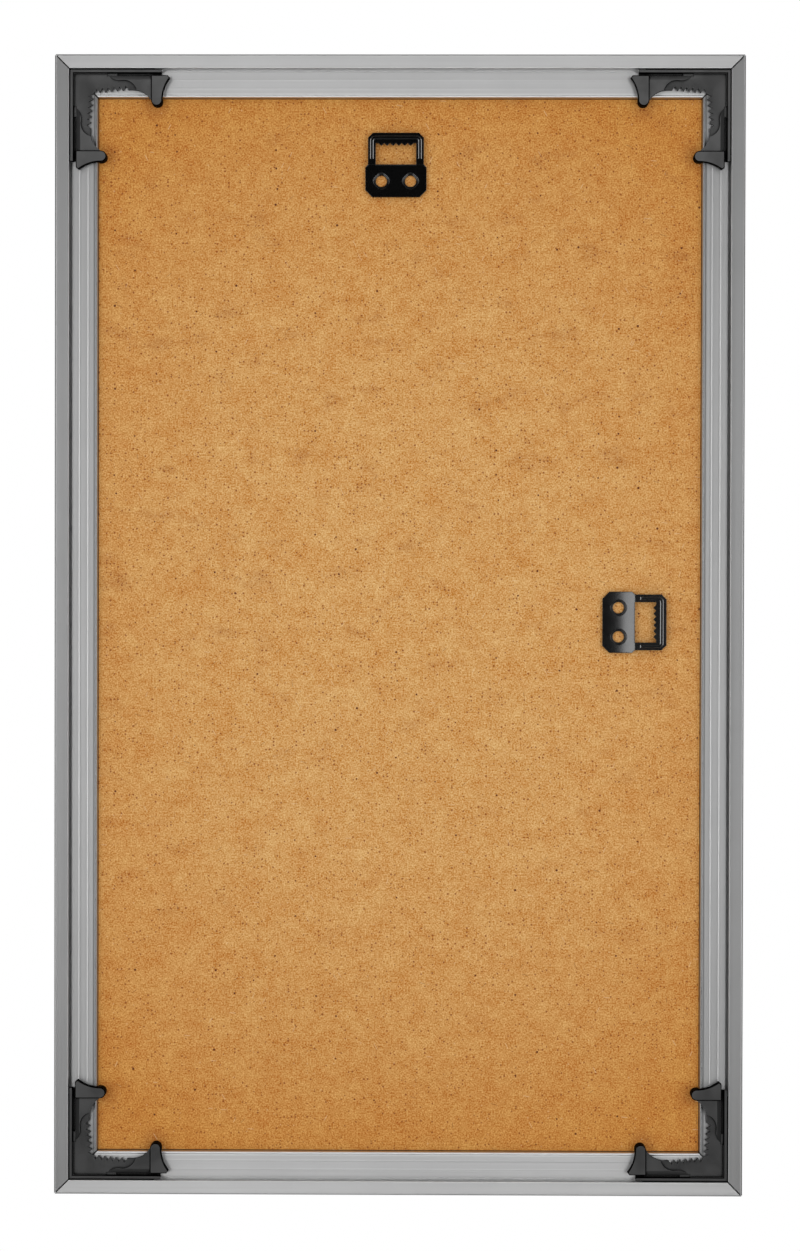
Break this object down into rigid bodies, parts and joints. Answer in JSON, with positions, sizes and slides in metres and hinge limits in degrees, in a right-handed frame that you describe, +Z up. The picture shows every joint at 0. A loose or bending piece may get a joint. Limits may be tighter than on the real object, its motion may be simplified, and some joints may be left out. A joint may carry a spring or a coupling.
{
  "type": "picture frame",
  "caption": "Upright picture frame of mitred aluminium rails; a drop-in fibreboard back is held by sprung toothed corner clips and carries toothed hangers for hanging upright or sideways.",
  "frame": {"origin": "where the wall nail bears in the top hanger, on the wall plane", "axes": "+Z up along the long side, +Y from the wall out to the picture side, +X to the right of someone who looks at the back"},
  "size_m": [0.307, 0.0129, 0.508],
  "materials": {
    "rail": "satin",
    "clip": "satin",
    "key": "matte",
    "hanger": "gloss",
    "board": "matte",
    "sheet": "matte",
    "glazing": "gloss"
  },
  "bodies": {
    "frame": {"rail_top": "rail", "rail_bottom": "rail", "rail_left": "rail", "rail_right": "rail", "corner_key_top_left": "key", "corner_key_top_right": "key", "corner_key_bottom_left": "key", "corner_key_bottom_right": "key", "glazing": "glazing", "picture_sheet": "sheet", "backing_board": "board", "hanger_top": "hanger", "hanger_side": "hanger"},
    "clip_top_left": {"corner_clip_top_left": "clip"},
    "clip_top_right": {"corner_clip_top_right": "clip"},
    "clip_bottom_left": {"corner_clip_bottom_left": "clip"},
    "clip_bottom_right": {"corner_clip_bottom_right": "clip"}
  },
  "joints": [
    {"name": "clip_slide_top_left", "type": "slide", "parent": "frame", "child": "clip_top_left", "axis": [0.7071, 0, -0.7071], "range_m": [0, 0.01]},
    {"name": "clip_slide_top_right", "type": "slide", "parent": "frame", "child": "clip_top_right", "axis": [-0.7071, 0, -0.7071], "range_m": [0, 0.01]},
    {"name": "clip_slide_bottom_left", "type": "slide", "parent": "frame", "child": "clip_bottom_left", "axis": [0.7071, 0, 0.7071], "range_m": [0, 0.01]},
    {"name": "clip_slide_bottom_right", "type": "slide", "parent": "frame", "child": "clip_bottom_right", "axis": [-0.7071, 0, 0.7071], "range_m": [0, 0.01]}
  ]
}
